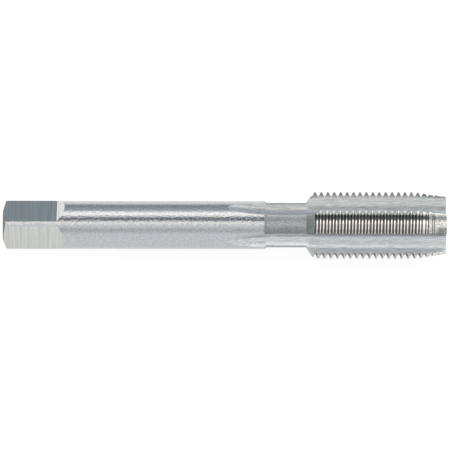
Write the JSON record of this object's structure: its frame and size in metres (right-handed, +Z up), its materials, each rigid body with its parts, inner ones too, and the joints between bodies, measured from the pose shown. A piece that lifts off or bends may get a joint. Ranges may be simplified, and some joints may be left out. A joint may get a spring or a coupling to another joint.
{
  "type": "thread tap",
  "caption": "Left-hand hand tap: a round shank with a square drive, a short neck, and straight flutes through a fine thread with a taper lead. Cuts internal threads.",
  "frame": {"origin": "middle of the footprint, on the surface that the tap lies on", "axes": "+X along the tap from the shank end to the cutting tip, level (the tap's own axis rises 1.4 degrees towards the tip as it lies); +Z up; the tap lies on its shank and on two thread lands"},
  "size_m": [0.0626, 0.0086, 0.0089],
  "materials": {
    "tool_steel": "ground"
  },
  "bodies": {
    "root": {"thread_tap": "tool_steel"}
  },
  "joints": []
}
